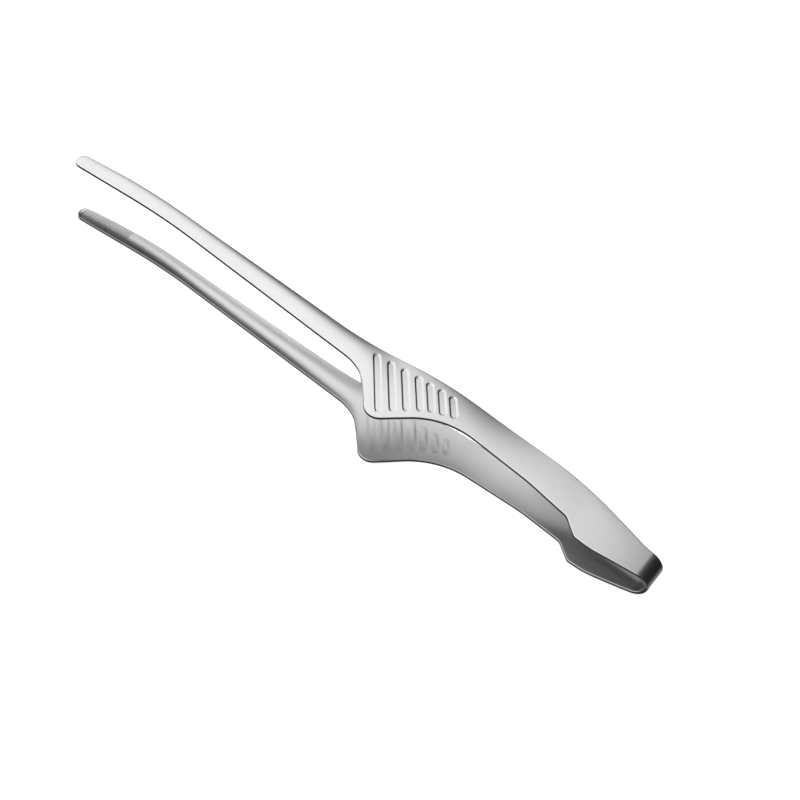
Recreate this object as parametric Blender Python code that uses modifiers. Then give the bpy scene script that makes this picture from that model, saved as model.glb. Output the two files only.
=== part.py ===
"""Sprung steel tongs folded from one stamped strip, in metres, +Z up.

The strip is a narrow U-shaped bow at the back and two arms that mirror each other about the mid-plane.
Each arm runs from the bow through a handle, a finger plate with seven pressed grooves and a long
channelled jaw arm to a rounded tip with cross-cut teeth on its inner face.
Along the strip, d is the developed distance in millimetres: it equals x past the bow's arc, and it
goes on round the arc to the bow's outer end. Across the strip, v runs from 0 at the far edge to 1
at the near edge. The strip frame has x from the bow's outer end and its mid-plane at z 0.
"""

import math

import bmesh
import bpy
from mathutils import Vector

MM = 0.001

# Driving dimensions, in millimetres
LENGTH = 235.0
SHEET = 1.2
BOW_RADIUS = 5.6  # outer radius of the bow
BOW_FLARE = math.radians(8.0)  # slope at which each arm leaves the bow's arc
SEAM = 0.3  # gap between neighbouring nodes of the strip

# Half height of the strip's outer face at its edges: (x, height), from the end of the bow's arc
HEIGHTS = [(15, 6.7), (30, 7.7), (45, 8.8), (65, 10.6), (82, 12.1), (96, 12.65), (120, 12.85),
           (150, 13.15), (190, 13.55), (LENGTH, 14.1)]
# Height of the outward bulge across the strip: (d, height). It shrinks with the width at the tip.
CROWNS = [(0, 0), (30, 0), (50, 0.25), (65, 0.4), (80, 0.5), (98, 0.6), (112, 0.75), (125, 0.85),
          (200, 0.85), (LENGTH, 0.6)]
# How much nearer to the mid-plane the far edge lies than the near one: (d, height)
LEANS = [(0, 0), (30, 0), (45, 0.15), (60, 0.9), (74, 1.4), (88, 1.45), (104, 1.3), (118, 0.9),
         (135, 0.5), (160, 0.3), (200, 0.2), (LENGTH, 0.1)]
BULGE_RADIUS = 7.0  # the tightest curve across the strip

# Corners of the flat blank: (d, y, fillet radius). The near edge carries the shoulder and the fin.
NEAR_EDGE = [(-5, 8.5, 0), (20, 12.2, 30), (26.4, 11.95, 2.2), (32.2, 7.4, 3), (48, 5.2, 60),
             (80.5, 3.65, 28), (99.9, 20.9, 5), (112, 5.5, 16), (198, -1.15, 220), (236, 0.5, 0)]
FAR_EDGE = [(-5, 0.1, 0), (7, 0.1, 25), (34.9, -6.3, 120), (88.4, -7.9, 150), (118, -3.75, 128),
            (209.5, -7.25, 200), (236, -4.45, 0)]
TIP_RADIUS = 2.55
TIP_CENTRE_Y = -2.2
Y_MIDDLE = 5.85  # middle of the strip's width range, which goes to the model's y 0

# Nodes along each arm: name and the d where it ends
BOW_END = 10.0
ARM_NODES = [("spring_leaf", 74.0), ("grip_plate", 121.0), ("jaw_arm", 213.0), ("serrated_tip", LENGTH)]

# Pressed finger grooves: slanted stadiums. Each one has the middle of its round far end, and the
# length of its straight sides.
GROOVE_SLANT = math.radians(127.5)  # direction from a groove's far end to its near end, from +X
GROOVE_RADIUS = 1.1
GROOVE_DEPTH = 0.35
GROOVES = [((110.7, -0.7), 19.9), ((105.6, -1.4), 16.9), ((100.7, -2.1), 14.2), ((95.7, -2.7), 11.4),
           ((91.5, -3.0), 9.3), ((87.2, -3.3), 7.8), ((82.9, -3.4), 6.1)]

# Teeth
TOOTH_PITCH = 1.15
TOOTH_COUNT = 16
TOOTH_DEPTH = 0.35
TOOTH_START = 215.0

# How the part lies on the ground: on the lower finger plate, balanced about it
REST_ROLL = math.radians(5.5)
REST_PITCH = math.radians(-1.9)
STRIP_PLACE = (-117.6, -5.58, 9.17)

STEEL = (0.76, 0.76, 0.77, 1.0)
ACROSS = 7  # facets across the strip, odd so that one lies flat along the middle


def through(points, x):
    """Height at x of a smooth curve through points, level with the end points beyond them."""
    if x <= points[0][0]:
        return points[0][1]
    if x >= points[-1][0]:
        return points[-1][1]
    i = max(k for k in range(len(points) - 1) if points[k][0] <= x)
    (x0, y0), (x1, y1) = points[i], points[i + 1]

    def slope(k):
        before, after = points[max(k - 1, 0)], points[min(k + 1, len(points) - 1)]
        return (after[1] - before[1]) / (after[0] - before[0])

    width = x1 - x0
    t = (x - x0) / width
    return (
        (2 * t**3 - 3 * t**2 + 1) * y0
        + (t**3 - 2 * t**2 + t) * width * slope(i)
        + (3 * t**2 - 2 * t**3) * y1
        + (t**3 - t**2) * width * slope(i + 1)
    )


def filleted(corners, step=math.radians(6)):
    """Points of an open outline: straight runs joined by arcs of each corner's radius."""
    path = [Vector(corners[0][:2])]
    for before, corner, after in zip(corners, corners[1:], corners[2:]):
        at, radius = Vector(corner[:2]), corner[2]
        into = (at - Vector(before[:2])).normalized()
        out = (Vector(after[:2]) - at).normalized()
        turn = math.atan2(into.x * out.y - into.y * out.x, into.dot(out))
        side = math.copysign(1, turn)
        start = at - into * radius * math.tan(abs(turn) / 2)
        centre = start + Vector((-into.y, into.x)) * side * radius
        spoke = start - centre
        count = max(4, math.ceil(abs(turn) / step))
        for k in range(count + 1):
            a = turn * k / count
            path.append(
                centre
                + Vector((
                    spoke.x * math.cos(a) - spoke.y * math.sin(a),
                    spoke.x * math.sin(a) + spoke.y * math.cos(a),
                ))
            )
    path.append(Vector(corners[-1][:2]))
    return path


def outline_y(path, d):
    """y of an outline at d."""
    for p, q in zip(path, path[1:]):
        if p.x <= d <= q.x:
            return p.y + (q.y - p.y) * (d - p.x) / (q.x - p.x)
    raise ValueError(f"the outline doesn't reach d {d}")


NEAR_PATH = filleted(NEAR_EDGE)
FAR_PATH = filleted(FAR_EDGE)
ARC_END = BOW_RADIUS * (1 - math.sin(BOW_FLARE))  # x where the bow's arc gives way to the arm
ARC_TURN = math.pi / 2 - BOW_FLARE  # angle of the arc from the mid-plane to its end
APEX = ARC_END - BOW_RADIUS * ARC_TURN  # d of the bow's outer end
PROFILE = [(ARC_END - 1, BOW_RADIUS * math.cos(BOW_FLARE) - math.tan(BOW_FLARE)),
           (ARC_END, BOW_RADIUS * math.cos(BOW_FLARE)), *HEIGHTS]


def edges(d):
    """y of the far and the near edge at d."""
    far, near = outline_y(FAR_PATH, d), outline_y(NEAR_PATH, d)
    past = d - (LENGTH - TIP_RADIUS)
    if past > 0:
        half = math.sqrt(max(TIP_RADIUS**2 - past**2, 0))
        near = min(near, TIP_CENTRE_Y + half)
        far = max(far, TIP_CENTRE_Y - half)
    return far, near


def outer_line(d):
    """(x, z) of the upper half's outer face at its edges, and its slope angle."""
    if d < ARC_END:
        turned = (d - APEX) / BOW_RADIUS
        return (BOW_RADIUS * (1 - math.cos(turned)), BOW_RADIUS * math.sin(turned)), math.pi / 2 - turned
    rise = through(PROFILE, d + 0.1) - through(PROFILE, d - 0.1)
    return (d, through(PROFILE, d)), math.atan2(rise, 0.2)


def place(d, y, depth, side):
    """Point of the strip at d and y, depth millimetres inside the outer face, on the upper (1) or
    lower (-1) half, in the strip frame."""
    far, near = edges(d)
    v = (y - far) / (near - far)
    (x, z), slope = outer_line(d)
    bulge = min(through(CROWNS, d), (near - far) ** 2 / (8 * BULGE_RADIUS))
    out = bulge * (1 - (2 * v - 1) ** 2) - through(LEANS, d) * (1 - v) - depth
    return Vector((x - out * math.sin(slope), y, side * (z + out * math.cos(slope))))


def row_across(d, side):
    """Points across the outer face at d, far edge first."""
    far, near = edges(d)
    return [place(d, far + (near - far) * k / ACROSS, 0, side) for k in range(ACROSS + 1)]


def loft(name, rows, origin, ring=False):
    """An object whose faces join each row of points to the next. A ring closes each row on itself
    and caps the ends."""
    bm = bmesh.new()
    made = [[bm.verts.new((p - origin) * MM) for p in row] for row in rows]
    for low, high in zip(made, made[1:]):
        for j in range(len(low) if ring else len(low) - 1):
            k = (j + 1) % len(low)
            bm.faces.new((low[j], high[j], high[k], low[k]))
    if ring:
        bm.faces.new(made[0])
        bm.faces.new(reversed(made[-1]))
        bmesh.ops.recalc_face_normals(bm, faces=bm.faces)
    mesh = bpy.data.meshes.new(name)
    bm.to_mesh(mesh)
    bm.free()
    return bpy.data.objects.new(name, mesh)


def steel(name):
    """The satin stainless steel of one node."""
    material = bpy.data.materials.new(name)
    material.use_nodes = True
    shader = material.node_tree.nodes["Principled BSDF"]
    shader.inputs["Base Color"].default_value = STEEL
    shader.inputs["Metallic"].default_value = 1.0
    shader.inputs["Roughness"].default_value = 0.3
    return material


def finish_node(node, parent, collection):
    """Thickens the outer face inwards into the sheet, and puts the node in its place."""
    node.data.materials.append(steel(node.name))
    sheet = node.modifiers.new("sheet", "SOLIDIFY")
    sheet.thickness = SHEET * MM
    sheet.offset = -1
    sheet.use_even_offset = True
    node.parent = parent
    collection.objects.link(node)


def cut(node, cutters, parent, collection):
    """Takes the cutters out of a node."""
    group = bpy.data.collections.new(node.name + "_cutters")
    collection.children.link(group)
    for cutter in cutters:
        cutter.parent = parent
        cutter.hide_render = True
        cutter.display_type = "WIRE"
        group.objects.link(cutter)
    taken = node.modifiers.new("cut", "BOOLEAN")
    taken.operand_type = "COLLECTION"
    taken.collection = group
    taken.solver = "EXACT"


def groove_cutter(number, side, origin):
    """The space of one pressed groove: a stadium on the outer face, sunk to the groove's depth."""
    end, length = Vector(GROOVES[number][0]), GROOVES[number][1]
    along = Vector((math.cos(GROOVE_SLANT), math.sin(GROOVE_SLANT)))
    across = Vector((along.y, -along.x))
    caps = [GROOVE_RADIUS * math.cos(math.radians(a)) for a in (25, 50, 90)]
    stops = [*(-c for c in caps), *(length * k / 6 for k in range(1, 6)),
             *(length + c for c in reversed(caps))]
    rows = []
    for s in stops:
        over = max(-s, s - length, 0)
        half = math.sqrt(GROOVE_RADIUS**2 - over**2)
        left, right = end + along * s - across * half, end + along * s + across * half
        top = GROOVE_DEPTH - 1.0
        corners = [(left, GROOVE_DEPTH), (right, GROOVE_DEPTH), (right, top), (left, top)]
        rows.append([place(p.x, p.y, depth, side) for p, depth in corners])
    return loft(f"groove_{number}_{side}", rows, origin, ring=True)


def tooth_cutter(number, side, origin):
    """The V between two teeth, across the inner face."""
    d = TOOTH_START + TOOTH_PITCH * number
    half = TOOTH_PITCH * 0.42
    clear = SHEET + 0.5
    section = [(-half, clear), (-half, SHEET), (0, SHEET - TOOTH_DEPTH), (half, SHEET), (half, clear)]
    rows = []
    for k in range(ACROSS + 1):
        v = -0.1 + 1.2 * k / ACROSS
        ring = []
        for offset, depth in section:
            far, near = edges(d + offset)
            ring.append(place(d + offset, far + (near - far) * v, depth, side))
        rows.append(ring)
    return loft(f"tooth_{number}_{side}", rows, origin, ring=True)


def stations(start, end):
    """Values of d from start to end, close together where the outline or the profile turns."""
    found = [start]
    while True:
        d = found[-1]
        if d < 12:
            step = 1.2
        elif d < 36 or 76 <= d < 118:
            step = 1.6
        elif d < 76 or d < 222:
            step = 5.0
        else:
            step = 2.0 if d < LENGTH - 4 else 0.6
        if d + step * 1.3 >= end:
            return [*found, end]
        found.append(d + step)


def build_arm(side, parent, origin, model, cutters):
    """The nodes of one arm, from the bow's seam to the tip."""
    prefix = "upper" if side == 1 else "lower"
    start = BOW_END
    for part, end in ARM_NODES:
        stop = end - SEAM / 2 if end < LENGTH else LENGTH - 0.06
        rows = [row_across(d, side) for d in stations(start + SEAM / 2, stop)]
        node = loft(f"{prefix}_{part}", rows if side == 1 else rows[::-1], origin)
        finish_node(node, parent, model)
        if part == "grip_plate":
            cut(node, [groove_cutter(k, side, origin) for k in range(len(GROOVES))],
                parent, cutters)
        if part == "serrated_tip":
            cut(node, [tooth_cutter(k, side, origin) for k in range(TOOTH_COUNT)], parent, cutters)
        start = end


def build_bow(parent, model):
    """The U-shaped spring, from the lower seam round its outer end to the upper seam."""
    half = stations(APEX, BOW_END - SEAM / 2)
    rows = [row_across(d, -1) for d in reversed(half[1:])] + [row_across(d, 1) for d in half]
    finish_node(loft("spring_bow", rows, Vector((0, 0, 0))), parent, model)


def empty(name, parent, at, collection):
    """An empty at a point of its parent, in millimetres."""
    made = bpy.data.objects.new(name, None)
    made.location = at * MM
    made.parent = parent
    collection.objects.link(made)
    return made


def main():
    for old in list(bpy.data.objects):
        bpy.data.objects.remove(old)
    model = bpy.data.collections.new("sprung_tongs")
    cutters = bpy.data.collections.new("cutters")
    for collection in (model, cutters):
        bpy.context.scene.collection.children.link(collection)
    strip = empty("strip", None, Vector(STRIP_PLACE), model)
    strip.rotation_euler = (REST_ROLL, REST_PITCH, 0)
    build_bow(strip, model)
    for side in (1, -1):
        at = place(BOW_END, Y_MIDDLE, SHEET / 2, side)
        hinge = empty("upper_hinge" if side == 1 else "lower_hinge", strip, at, model)
        build_arm(side, hinge, at, model, cutters)


main()
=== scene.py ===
"""Sprung steel tongs: one stamped and folded strip of satin stainless steel, on a pale studio floor.

The strip is a narrow U-shaped bow and two arms that mirror each other about the mid-plane. Each half,
from the bow's outer end to a tip, is one closed mesh.
Lengths are in millimetres until a mesh is made. Along the strip, d is the developed distance: it
equals x past the bow's arc. The strip frame has x from the bow's outer end, y across (the near side
is +) and its mid-plane at z 0.
"""

import math

import bpy
import numpy as np
from mathutils import Euler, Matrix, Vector


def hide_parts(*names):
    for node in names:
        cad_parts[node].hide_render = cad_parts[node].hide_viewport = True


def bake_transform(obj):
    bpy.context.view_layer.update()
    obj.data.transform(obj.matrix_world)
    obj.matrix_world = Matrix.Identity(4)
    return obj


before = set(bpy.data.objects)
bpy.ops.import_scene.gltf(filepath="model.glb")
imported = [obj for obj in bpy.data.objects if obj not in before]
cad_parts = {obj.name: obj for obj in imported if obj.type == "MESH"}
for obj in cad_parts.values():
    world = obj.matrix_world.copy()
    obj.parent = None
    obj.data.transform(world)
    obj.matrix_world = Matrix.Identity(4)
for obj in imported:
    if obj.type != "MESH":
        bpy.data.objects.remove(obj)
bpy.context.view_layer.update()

MM = 0.001

# The strip's driving dimensions, as in the CAD part
LENGTH = 235.0
SHEET = 1.2
BOW_RADIUS = 5.6
BOW_FLARE = math.radians(8.0)
HEIGHTS = [(15, 6.7), (30, 7.7), (45, 8.8), (65, 10.6), (82, 12.1), (96, 12.65), (120, 12.85),
           (150, 13.15), (190, 13.55), (LENGTH, 14.1)]
CROWNS = [(0, 0), (30, 0), (50, 0.25), (65, 0.4), (80, 0.5), (98, 0.6), (112, 0.75), (125, 0.85),
          (200, 0.85), (LENGTH, 0.6)]
# How much nearer to the mid-plane the far edge lies than the near one
LEANS = [(0, 0), (30, 0), (45, 0.15), (60, 0.9), (74, 1.4), (88, 1.45), (104, 1.3), (118, 0.9),
         (135, 0.5), (160, 0.3), (200, 0.2), (LENGTH, 0.1)]
BULGE_RADIUS = 7.0
NEAR_EDGE = [(-5, 8.5, 0), (20, 12.2, 30), (26.4, 11.95, 2.2), (32.2, 7.4, 3), (48, 5.2, 60),
             (80.5, 3.65, 28), (99.9, 20.9, 5), (112, 5.5, 16), (198, -1.15, 220), (236, 0.5, 0)]
FAR_EDGE = [(-5, 0.1, 0), (7, 0.1, 25), (34.9, -6.3, 120), (88.4, -7.9, 150), (118, -3.75, 128),
            (209.5, -7.25, 200), (236, -4.45, 0)]
TIP_RADIUS = 2.55
TIP_CENTRE_Y = -2.2
TIP_NEAR_ANGLE = math.radians(92.5)  # where the near edge meets the round end, from straight ahead
TIP_FAR_ANGLE = math.radians(-84.1)

# Pressed finger grooves: the middle of each one's two round ends, near the far and the near edge
GROOVE_RADIUS = 1.1
GROOVE_DEPTH = 0.3
GROOVE_WALL = 0.36  # width of the sloping wall
GROOVE_BACK = 0.17  # height of the soft ridge that each groove raises on the inner face
RIDGE_SOFT = 0.5  # how much wider that ridge spreads than the groove
GROOVES = [((110.7, -0.7), 19.9), ((105.6, -1.4), 16.9), ((100.7, -2.1), 14.2), ((95.7, -2.7), 11.4),
           ((91.5, -3.0), 9.3), ((87.2, -3.3), 7.8), ((82.9, -3.4), 6.1)]
GROOVE_SLANT = math.radians(127.5)

# Teeth on the inner faces of the tips
TOOTH_START = 214.4
TOOTH_PITCH = 1.0
TOOTH_COUNT = 19
TOOTH_DEPTH = 0.2
TOOTH_BOW = 0.9  # how far the middle of a tooth lies ahead of its ends

TOOTH_SHARPNESS = 2.5  # the higher, the narrower each cut

# Mesh
ACROSS = 56  # steps across each face
EDGE_ROUND = 0.19  # radius of the sheet's rounded edges
EDGE_STEPS = 4
TIP_ROWS = 20  # rows round the tip's end
SLOPE_REACH = 0.05  # how far to each side a curve is read for its slope
MIN_WIDTH = 0.01  # the least width of the strip that is divided by

# How the part lies on the ground
REST = Euler((math.radians(5.5), math.radians(-1.9), 0)).to_matrix()
STRIP_PLACE = Vector((-117.6, -5.58, 9.17))

# Camera: where it stands, how it is turned, and its lens
CAMERA_AT = (-0.23125, 0.29938, 0.60586)
CAMERA_TURN = (32.082, -0.73, -143.868)
CAMERA_LENS = 99.0

# Light: the direction of the wide soft light's middle, and where it is full and where it ends
LIGHT_ZENITH = math.radians(54)
LIGHT_AZIMUTH = math.radians(12)
LIGHT_FROM = Vector((math.sin(LIGHT_ZENITH) * math.cos(LIGHT_AZIMUTH),
                     math.sin(LIGHT_ZENITH) * math.sin(LIGHT_AZIMUTH),
                     math.cos(LIGHT_ZENITH)))
LIGHT_FULL = math.radians(62)
LIGHT_END = math.radians(84)
LIGHT_LEVEL = 1.14
ROOM_LEVEL = 0.02
FLOOR_GLOW = 0.75  # emission that lifts the floor to the photo's white ground
FLOOR_REACH = 4.0  # metres from the middle to each side
# Pale light from straight below, which the arms' inner faces hand on: where it is full and where it ends
BELOW_FULL = math.radians(5)
BELOW_END = math.radians(22)
BELOW_LEVEL = 1.1
# The wide light's lower rim: z of the directions where it starts, and where it is full
HORIZON_START = -0.05
HORIZON_FULL = 0.2
# A faint glow off the floor behind the bow
BEHIND_FROM = Vector((-0.35, -0.43, -0.83))
BEHIND_FULL = math.radians(8)
BEHIND_END = math.radians(26)
BEHIND_LEVEL = 0.35
# A black card just behind the tongs is seen only in their reflections: its y, and its top edge as (x, z)
CARD_Y = -24
CARD_TOP = [(-170, 35), (-98, 35), (-82, 31), (-66, 25), (-42, 25), (-30, 28), (-16, 30), (-6, 24),
            (15, 18), (55, 18), (75, 20), (95, 26), (112, 31), (150, 35)]


# ---------------------------------------------------------------- curves

def spline(points, x, start_slope=None):
    """Heights at x of a twice smooth curve through points, level beyond the last one."""
    px, py = np.array(points, float).T
    count = len(px)
    gap = np.diff(px)
    rise = np.diff(py) / gap
    system, right = np.eye(count), np.zeros(count)
    for k in range(1, count - 1):
        system[k, k - 1:k + 2] = gap[k - 1], 2 * (gap[k - 1] + gap[k]), gap[k]
        right[k] = 6 * (rise[k] - rise[k - 1])
    if start_slope is not None:
        system[0, :2] = 2 * gap[0], gap[0]
        right[0] = 6 * (rise[0] - start_slope)
    bend = np.linalg.solve(system, right)
    x = np.clip(x, px[0], px[-1])
    k = np.clip(np.searchsorted(px, x, side="right") - 1, 0, count - 2)
    before, after, width = x - px[k], px[k + 1] - x, gap[k]
    return (
        (bend[k] * after**3 + bend[k + 1] * before**3) / (6 * width)
        + (py[k] / width - bend[k] * width / 6) * after
        + (py[k + 1] / width - bend[k + 1] * width / 6) * before
    )


def filleted(corners, step=math.radians(1)):
    """Points of an open outline: straight runs joined by arcs of each corner's radius."""
    path = [np.array(corners[0][:2], float)]
    for before, corner, after in zip(corners, corners[1:], corners[2:]):
        at, radius = np.array(corner[:2], float), corner[2]
        into = at - np.array(before[:2])
        into /= np.linalg.norm(into)
        out = np.array(after[:2]) - at
        out /= np.linalg.norm(out)
        turn = math.atan2(into[0] * out[1] - into[1] * out[0], into @ out)
        start = at - into * radius * math.tan(abs(turn) / 2)
        centre = start + np.array((-into[1], into[0])) * math.copysign(radius, turn)
        spoke = start - centre
        count = max(8, math.ceil(abs(turn) / step))
        for a in np.linspace(0, turn, count + 1):
            path.append(centre + (spoke[0] * math.cos(a) - spoke[1] * math.sin(a),
                                  spoke[0] * math.sin(a) + spoke[1] * math.cos(a)))
    path.append(np.array(corners[-1][:2], float))
    return np.array(path)


NEAR_PATH = filleted(NEAR_EDGE)
FAR_PATH = filleted(FAR_EDGE)
ARC_END = BOW_RADIUS * (1 - math.sin(BOW_FLARE))
APEX = ARC_END - BOW_RADIUS * (math.pi / 2 - BOW_FLARE)
TIP_START = LENGTH - TIP_RADIUS
PROFILE = [(ARC_END, BOW_RADIUS * math.cos(BOW_FLARE)), *HEIGHTS]


def edge_y(path, d, side):
    """y of one edge of the strip, rounded off at the tip; side is 1 for the near edge."""
    past = np.clip(d - TIP_START, 0, TIP_RADIUS)
    end = TIP_CENTRE_Y + side * np.sqrt(TIP_RADIUS**2 - past**2)
    y = np.interp(d, path[:, 0], path[:, 1])
    return np.where(d > TIP_START, np.minimum(side * y, side * end) * side, y)


def across(d, y):
    """Share of the way from the far to the near edge at y, from 0 to 1, and the strip's width there."""
    far, near = edge_y(FAR_PATH, d, -1), edge_y(NEAR_PATH, d, 1)
    width = np.maximum(near - far, MIN_WIDTH)
    return np.clip((y - far) / width, 0, 1), width


def arch(t):
    """A parabola that is 0 where t is 0 and 1, and 1 half-way."""
    return 1 - (2 * t - 1) ** 2


def smoothstep(low, high, x):
    """0 up to low and 1 from high on, with a smooth change between them."""
    t = np.clip((x - low) / (high - low), 0, 1)
    return t * t * (3 - 2 * t)


def smaller(a, b, blend=0.12):
    """The smaller of two heights, with a soft change from one to the other."""
    return (a + b - np.sqrt((a - b) ** 2 + blend**2)) / 2


def outer_line(d):
    """x, z and slope angle of the upper half's outer face at its edges."""
    turned = np.clip((d - APEX) / BOW_RADIUS, 0, math.pi / 2 - BOW_FLARE)
    arm = d > ARC_END
    x = np.where(arm, d, BOW_RADIUS * (1 - np.cos(turned)))
    z = np.where(arm, spline(PROFILE, d, math.tan(BOW_FLARE)), BOW_RADIUS * np.sin(turned))
    rise = (spline(PROFILE, d + SLOPE_REACH, math.tan(BOW_FLARE))
            - spline(PROFILE, d - SLOPE_REACH, math.tan(BOW_FLARE)))
    slope = np.where(arm, np.arctan2(rise, 2 * SLOPE_REACH), math.pi / 2 - turned)
    return x, z, slope


def groove_press(d, y, soft=0.0):
    """How far the finger grooves are pressed in, from 0 to 1. Soft widens and softens them, and lets
    them die away towards their ends."""
    press = np.zeros_like(d)
    along = np.array((math.cos(GROOVE_SLANT), math.sin(GROOVE_SLANT)))
    for (gx, gy), length in GROOVES:
        reach = np.clip((d - gx) * along[0] + (y - gy) * along[1], 0, length)
        away = np.hypot(d - gx - reach * along[0], y - gy - reach * along[1])
        inner = GROOVE_RADIUS - GROOVE_WALL / 2 - soft
        outer = GROOVE_RADIUS + GROOVE_WALL / 2 + soft
        fade = arch(reach / length) if soft else 1
        press = np.maximum(press, fade * (1 - smoothstep(inner, outer, away)))
    return press


def tooth_cut(d, v):
    """Depth of the cross-cut teeth, which curve towards the tip along the middle of the strip."""
    phase = (d - TOOTH_START - TOOTH_BOW * arch(v)) / TOOTH_PITCH
    wave = 0.5 + 0.5 * np.cos(2 * math.pi * phase)
    cut = (phase > -0.5) & (phase < TOOTH_COUNT - 0.5)
    return np.where(cut, TOOTH_DEPTH * wave**TOOTH_SHARPNESS, 0)


def surface(d, y, depth):
    """Points of the upper half at d and y, depth millimetres inside its outer face."""
    v, width = across(d, y)
    bulge = smaller(spline(CROWNS, d), width**2 / (8 * BULGE_RADIUS))
    x, z, slope = outer_line(d)
    out = np.maximum(bulge, 0) * arch(v) - spline(LEANS, d) * (1 - v) - depth
    return np.stack((x - out * np.sin(slope), y, z + out * np.cos(slope)), axis=-1)


def inner_depth(d, y):
    """Depth of the inner face below the outer one, with the grooves' ridges and the teeth."""
    v, _ = across(d, y)
    return SHEET + GROOVE_BACK * groove_press(d, y, soft=RIDGE_SOFT) - tooth_cut(d, v)


# ---------------------------------------------------------------- mesh of one half

def run(start, end, step):
    """Even stops from start up to, but not including, end."""
    count = max(1, round((end - start) / step))
    return start + (end - start) * np.arange(count) / count


# Where each row of points crosses the far and the near edge. The rows lie along the finger grooves.
ROW_ENDS = [(-5, -5), (50, 50), (80, 73), (88.6, 80.5), (103.5, 90.2), (116.5, 98.6), (120.5, 102.8),
            (127, 112), (136, 126), (160, 160), (240, 240)]


# Where the rows lie along the strip: the first few past the bow's outer end, then runs as (start, end,
# step). They lie closer on the bow, the shoulder's corners, the finger grooves and the toothed tip.
FIRST_ROWS = (0, 0.05, 0.12, 0.22)
ROW_RUNS = [(APEX + 0.35, 10, 0.4), (10, 24, 0.8), (24, 34, 0.25), (34, 78, 0.9), (78, 128, 0.22),
            (128, 213, 1.0), (213, TIP_START, 0.11)]


def rim(path, d, side, inset):
    """Points of an edge in plan, moved in by inset square to the edge, and its outward normals."""
    ahead = np.interp(d + SLOPE_REACH, path[:, 0], path[:, 1])
    behind = np.interp(d - SLOPE_REACH, path[:, 0], path[:, 1])
    slope = (ahead - behind) / (2 * SLOPE_REACH)
    normal = np.stack((-slope, np.ones_like(slope)), axis=-1) * side
    normal /= np.linalg.norm(normal, axis=-1, keepdims=True)
    at = np.stack((d, np.interp(d, path[:, 0], path[:, 1])), axis=-1)
    return at - normal * inset, normal


def rim_round(angles, inset):
    """Points and outward normals of the tip's round end in plan."""
    normal = np.stack((np.cos(angles), np.sin(angles)), axis=-1)
    return np.array((TIP_START, TIP_CENTRE_Y)) + normal * (TIP_RADIUS - inset), normal


def plan_rows():
    """Far and near ends of every row in plan, and their outward normals, but for the very tip."""
    stops = np.concatenate((APEX + np.array(FIRST_ROWS), *(run(*part) for part in ROW_RUNS)))
    far_d, near_d = np.array(ROW_ENDS, float).T
    far, far_out = rim(FAR_PATH, stops, -1, EDGE_ROUND)
    near, near_out = rim(NEAR_PATH, np.interp(stops, far_d, near_d), 1, EDGE_ROUND)
    turn = 1 - np.arange(TIP_ROWS) / TIP_ROWS
    far_end, far_end_out = rim_round(TIP_FAR_ANGLE * turn, EDGE_ROUND)
    near_end, near_end_out = rim_round(TIP_NEAR_ANGLE * turn, EDGE_ROUND)
    return (np.concatenate((far, far_end)), np.concatenate((far_out, far_end_out)),
            np.concatenate((near, near_end)), np.concatenate((near_out, near_end_out)))


def edge_band(at, outward):
    """Rows of points round one edge of the sheet, from its outer to its inner face."""
    found = []
    angles = [math.pi / 2 * k / EDGE_STEPS for k in range(1, EDGE_STEPS + 1)]
    for a in angles:
        p = at + outward * EDGE_ROUND * math.sin(a)
        found.append(surface(p[:, 0], p[:, 1], EDGE_ROUND * (1 - math.cos(a))))
    for a in reversed(angles):
        p = at + outward * EDGE_ROUND * math.sin(a)
        found.append(surface(p[:, 0], p[:, 1], SHEET - EDGE_ROUND * (1 - math.cos(a))))
    return np.stack(found, axis=1)


def half_rings():
    """Closed rings of points round the strip's section, from the bow's outer end to the tip."""
    far, far_out, near, near_out = plan_rows()
    t = np.linspace(0, 1, ACROSS + 1)[None, :, None]
    grid = far[:, None, :] * (1 - t) + near[:, None, :] * t
    d, y = grid[..., 0], grid[..., 1]
    outer = surface(d, y, GROOVE_DEPTH * groove_press(d, y))
    inner = surface(d, y, inner_depth(d, y))
    return np.concatenate(
        (outer, edge_band(near, near_out), inner[:, ::-1], edge_band(far, far_out)[:, ::-1]), axis=1
    )


def tip_points():
    """The very tip, where the outer face, the edge band and the inner face each close on one point."""
    reach = TIP_START + (TIP_RADIUS - EDGE_ROUND)
    band = edge_band(np.array([[reach, TIP_CENTRE_Y]]), np.array([[1.0, 0.0]]))[0]
    ends = surface(np.full(2, reach), np.full(2, TIP_CENTRE_Y), np.array((0, SHEET)))
    return np.concatenate((ends[:1], band, ends[1:]))


def side_faces(count, around):
    """Quads between each ring and the next."""
    faces = []
    for i in range(count - 1):
        low, high = i * around, (i + 1) * around
        for j in range(around):
            k = (j + 1) % around
            faces.append((low + j, high + j, high + k, low + k))
    return faces


def tip_faces(last, around, nose):
    """Faces from the last ring, whose points start at last, to the tip's points, which start at nose."""
    faces = []
    steps = 2 * EDGE_STEPS
    first_inner = ACROSS + 1 + steps
    for j in range(ACROSS):
        faces.append((last + j, nose, last + j + 1))
        faces.append((last + first_inner + j, nose + steps + 1, last + first_inner + j + 1))
    for j in range(steps + 1):
        near_low, near_high = last + ACROSS + j, last + ACROSS + j + 1
        faces.append((near_low, nose + j, nose + j + 1, near_high))
        far_low = last + (around - j) % around
        far_high = last + around - j - 1
        faces.append((far_high, nose + j + 1, nose + j, far_low))
    return faces


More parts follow.
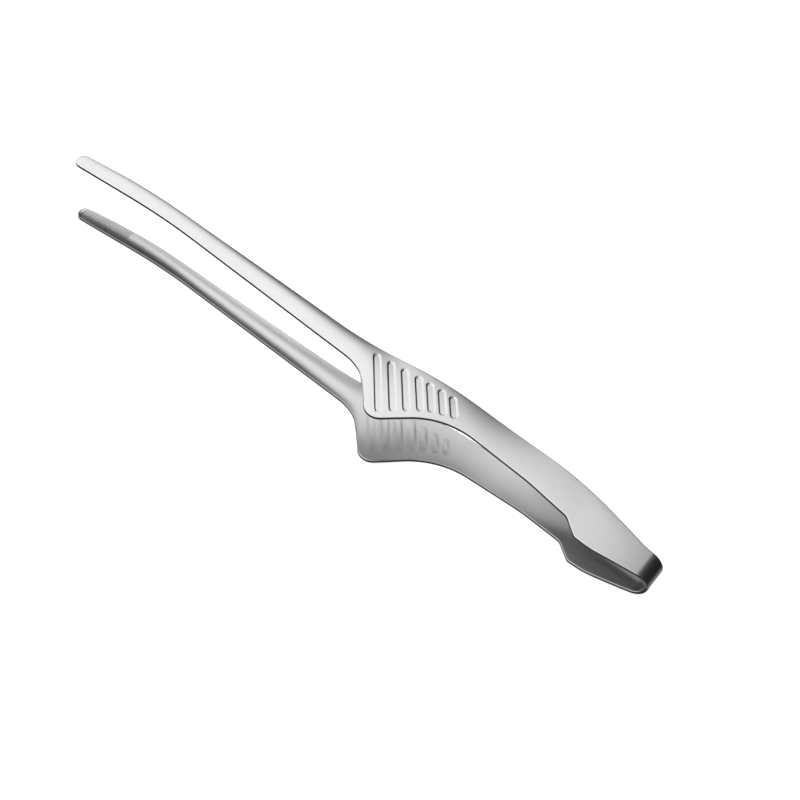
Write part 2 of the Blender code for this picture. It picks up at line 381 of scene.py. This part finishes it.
def half_strip(name, side):
    """The closed mesh of the upper (1) or lower (-1) half of the strip."""
    rings = half_rings()
    count, around = rings.shape[:2]
    points = np.concatenate((rings.reshape(-1, 3), tip_points()))
    faces = side_faces(count, around) + tip_faces((count - 1) * around, around, count * around)
    faces.append(tuple(range(around)))
    points[:, 2] *= side
    if side == -1:
        faces = [f[::-1] for f in faces]
    placed = points @ np.array(REST).T + np.array(STRIP_PLACE)
    mesh = bpy.data.meshes.new(name)
    mesh.from_pydata((placed * MM).tolist(), [], faces)
    mesh.validate()
    mesh.shade_smooth()
    # The flat face where the halves meet stays flat, with a sharp rim
    seam = set(range(around))
    sharp = [e.vertices[0] in seam and e.vertices[1] in seam for e in mesh.edges]
    mesh.attributes.new("sharp_edge", "BOOLEAN", "EDGE").data.foreach_set("value", sharp)
    mesh.polygons[len(mesh.polygons) - 1].use_smooth = False
    strip = bpy.data.objects.new(name, mesh)
    bpy.context.scene.collection.objects.link(strip)
    return strip


# ---------------------------------------------------------------- material

CLOUD_SCALE, CLOUD_STRETCH, CLOUD_DETAIL = 60, 0.5, 3
GRAIN_SCALE, GRAIN_STRETCH, GRAIN_DETAIL = 2500, 0.04, 2
NOISE_LOW, NOISE_HIGH = 0.3, 0.7  # the part of the noise's range that is spread over each ramp
ROUGH_LOW, ROUGH_HIGH = 0.31, 0.35
STEEL_DARK = (0.76, 0.765, 0.77, 1)
STEEL_PALE = (0.81, 0.81, 0.81, 1)
GRAIN_STRENGTH = 0.12
GRAIN_HEIGHT = 0.00002  # metres


def steel():
    """Satin stainless steel: a fine grain along the strip, and soft cloudy changes of gloss."""
    material = bpy.data.materials.new("satin_stainless")
    material.use_nodes = True
    nodes, links = material.node_tree.nodes, material.node_tree.links
    shader = nodes["Principled BSDF"]
    shader.inputs["Metallic"].default_value = 1.0
    place = nodes.new("ShaderNodeTexCoord")

    def grain(scale, along, detail):
        stretch = nodes.new("ShaderNodeMapping")
        stretch.inputs["Scale"].default_value = (along, 1, 1)
        noise = nodes.new("ShaderNodeTexNoise")
        noise.inputs["Scale"].default_value = scale
        noise.inputs["Detail"].default_value = detail
        links.new(place.outputs["Object"], stretch.inputs["Vector"])
        links.new(stretch.outputs["Vector"], noise.inputs["Vector"])
        return noise.outputs["Fac"]

    def ramp(source, low, high):
        scaled = nodes.new("ShaderNodeMapRange")
        scaled.inputs["From Min"].default_value = NOISE_LOW
        scaled.inputs["From Max"].default_value = NOISE_HIGH
        scaled.inputs["To Min"].default_value = low
        scaled.inputs["To Max"].default_value = high
        links.new(source, scaled.inputs["Value"])
        return scaled.outputs["Result"]

    cloud = grain(CLOUD_SCALE, CLOUD_STRETCH, CLOUD_DETAIL)
    fine = grain(GRAIN_SCALE, GRAIN_STRETCH, GRAIN_DETAIL)
    links.new(ramp(cloud, ROUGH_LOW, ROUGH_HIGH), shader.inputs["Roughness"])
    tint = nodes.new("ShaderNodeMix")
    tint.data_type = "RGBA"
    tint.inputs["A"].default_value = STEEL_DARK
    tint.inputs["B"].default_value = STEEL_PALE
    links.new(ramp(fine, 0, 1), tint.inputs["Factor"])
    links.new(tint.outputs["Result"], shader.inputs["Base Color"])
    bump = nodes.new("ShaderNodeBump")
    bump.inputs["Strength"].default_value = GRAIN_STRENGTH
    bump.inputs["Distance"].default_value = GRAIN_HEIGHT
    links.new(fine, bump.inputs["Height"])
    links.new(bump.outputs["Normal"], shader.inputs["Normal"])
    return material


# ---------------------------------------------------------------- studio

def plain_piece(name, corners, material_name, grey, specular):
    """A flat piece of one plain grey material, and the material's shader."""
    mesh = bpy.data.meshes.new(name)
    mesh.from_pydata(corners, [], [tuple(range(len(corners)))])
    material = bpy.data.materials.new(material_name)
    material.use_nodes = True
    shader = material.node_tree.nodes["Principled BSDF"]
    shader.inputs["Base Color"].default_value = (grey, grey, grey, 1)
    shader.inputs["Specular IOR Level"].default_value = specular
    mesh.materials.append(material)
    piece = bpy.data.objects.new(name, mesh)
    bpy.context.scene.collection.objects.link(piece)
    return piece, shader


def stage_floor():
    """The pale floor. The steel doesn't reflect it: the light's own patches stand in for it there."""
    reach = FLOOR_REACH
    corners = [(-reach, -reach, 0), (reach, -reach, 0), (reach, reach, 0), (-reach, reach, 0)]
    floor, shader = plain_piece("floor", corners, "floor_paper", grey=0.9, specular=0.1)
    shader.inputs["Roughness"].default_value = 0.9
    shader.inputs["Emission Color"].default_value = (1, 1, 1, 1)
    shader.inputs["Emission Strength"].default_value = FLOOR_GLOW
    floor.visible_glossy = False


def black_card():
    """A card that darkens what the steel reflects. The camera doesn't see it, and it casts no shadow."""
    (left, _), (right, _) = CARD_TOP[0], CARD_TOP[-1]
    outline = [(left, 0), (right, 0), *reversed(CARD_TOP)]
    corners = [(x * MM, CARD_Y * MM, z * MM) for x, z in outline]
    card, _ = plain_piece("black_card", corners, "black_felt", grey=0.01, specular=0.0)
    card.visible_camera = False
    card.visible_diffuse = False
    card.visible_shadow = False


def studio():
    """A dark room with a wide soft light over the tips, which fades out past the bow, and two patches
    of light from below in place of the floor's reflection."""
    world = bpy.data.worlds.new("studio")
    world.use_nodes = True
    bpy.context.scene.world = world
    nodes, links = world.node_tree.nodes, world.node_tree.links
    place = nodes.new("ShaderNodeTexCoord")

    def fade(source, start, full, dark, level):
        ramp = nodes.new("ShaderNodeMapRange")
        ramp.interpolation_type = "SMOOTHSTEP"
        ramp.inputs["From Min"].default_value = start
        ramp.inputs["From Max"].default_value = full
        ramp.inputs["To Min"].default_value = dark
        ramp.inputs["To Max"].default_value = level
        links.new(source, ramp.inputs["Value"])
        return ramp.outputs["Result"]

    def glow(towards, end, full, level):
        facing = nodes.new("ShaderNodeVectorMath")
        facing.operation = "DOT_PRODUCT"
        facing.inputs[1].default_value = towards
        links.new(place.outputs["Generated"], facing.inputs[0])
        return fade(facing.outputs["Value"], math.cos(end), math.cos(full), 0, level)

    def combine(operation, first, second):
        made = nodes.new("ShaderNodeMath")
        made.operation = operation
        links.new(first, made.inputs[0])
        if isinstance(second, float):
            made.inputs[1].default_value = second
        else:
            links.new(second, made.inputs[1])
        return made.outputs["Value"]

    height = nodes.new("ShaderNodeSeparateXYZ")
    links.new(place.outputs["Generated"], height.inputs[0])
    rim = fade(height.outputs["Z"], HORIZON_START, HORIZON_FULL, 0, 1)
    light = combine("MULTIPLY", glow(LIGHT_FROM, LIGHT_END, LIGHT_FULL, LIGHT_LEVEL), rim)
    light = combine("MAXIMUM", light, glow((0, 0, -1), BELOW_END, BELOW_FULL, BELOW_LEVEL))
    light = combine("MAXIMUM", light, glow(BEHIND_FROM, BEHIND_END, BEHIND_FULL, BEHIND_LEVEL))
    light = combine("MAXIMUM", light, ROOM_LEVEL)
    links.new(light, nodes["Background"].inputs["Strength"])
    nodes["Background"].inputs["Color"].default_value = (1, 1, 1, 1)
    bpy.context.scene.view_settings.view_transform = "Standard"


def camera():
    """The camera at the photo's viewing angle."""
    data = bpy.data.cameras.new("camera")
    data.lens = CAMERA_LENS
    data.sensor_width = 36.0
    data.clip_start = 0.01
    made = bpy.data.objects.new("camera", data)
    made.location = CAMERA_AT
    made.rotation_euler = [math.radians(a) for a in CAMERA_TURN]
    bpy.context.scene.collection.objects.link(made)
    bpy.context.scene.camera = made


# ---------------------------------------------------------------- build


camera()
finish = steel()
for side, arm in ((1, "upper"), (-1, "lower")):
    half = half_strip(f"{arm}_strip", side)
    half.data.materials.append(finish)
    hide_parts("spring_bow", *(f"{arm}_{part}" for part in
                                      ("spring_leaf", "grip_plate", "jaw_arm", "serrated_tip")))
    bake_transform(half)
stage_floor()
black_card()
studio()
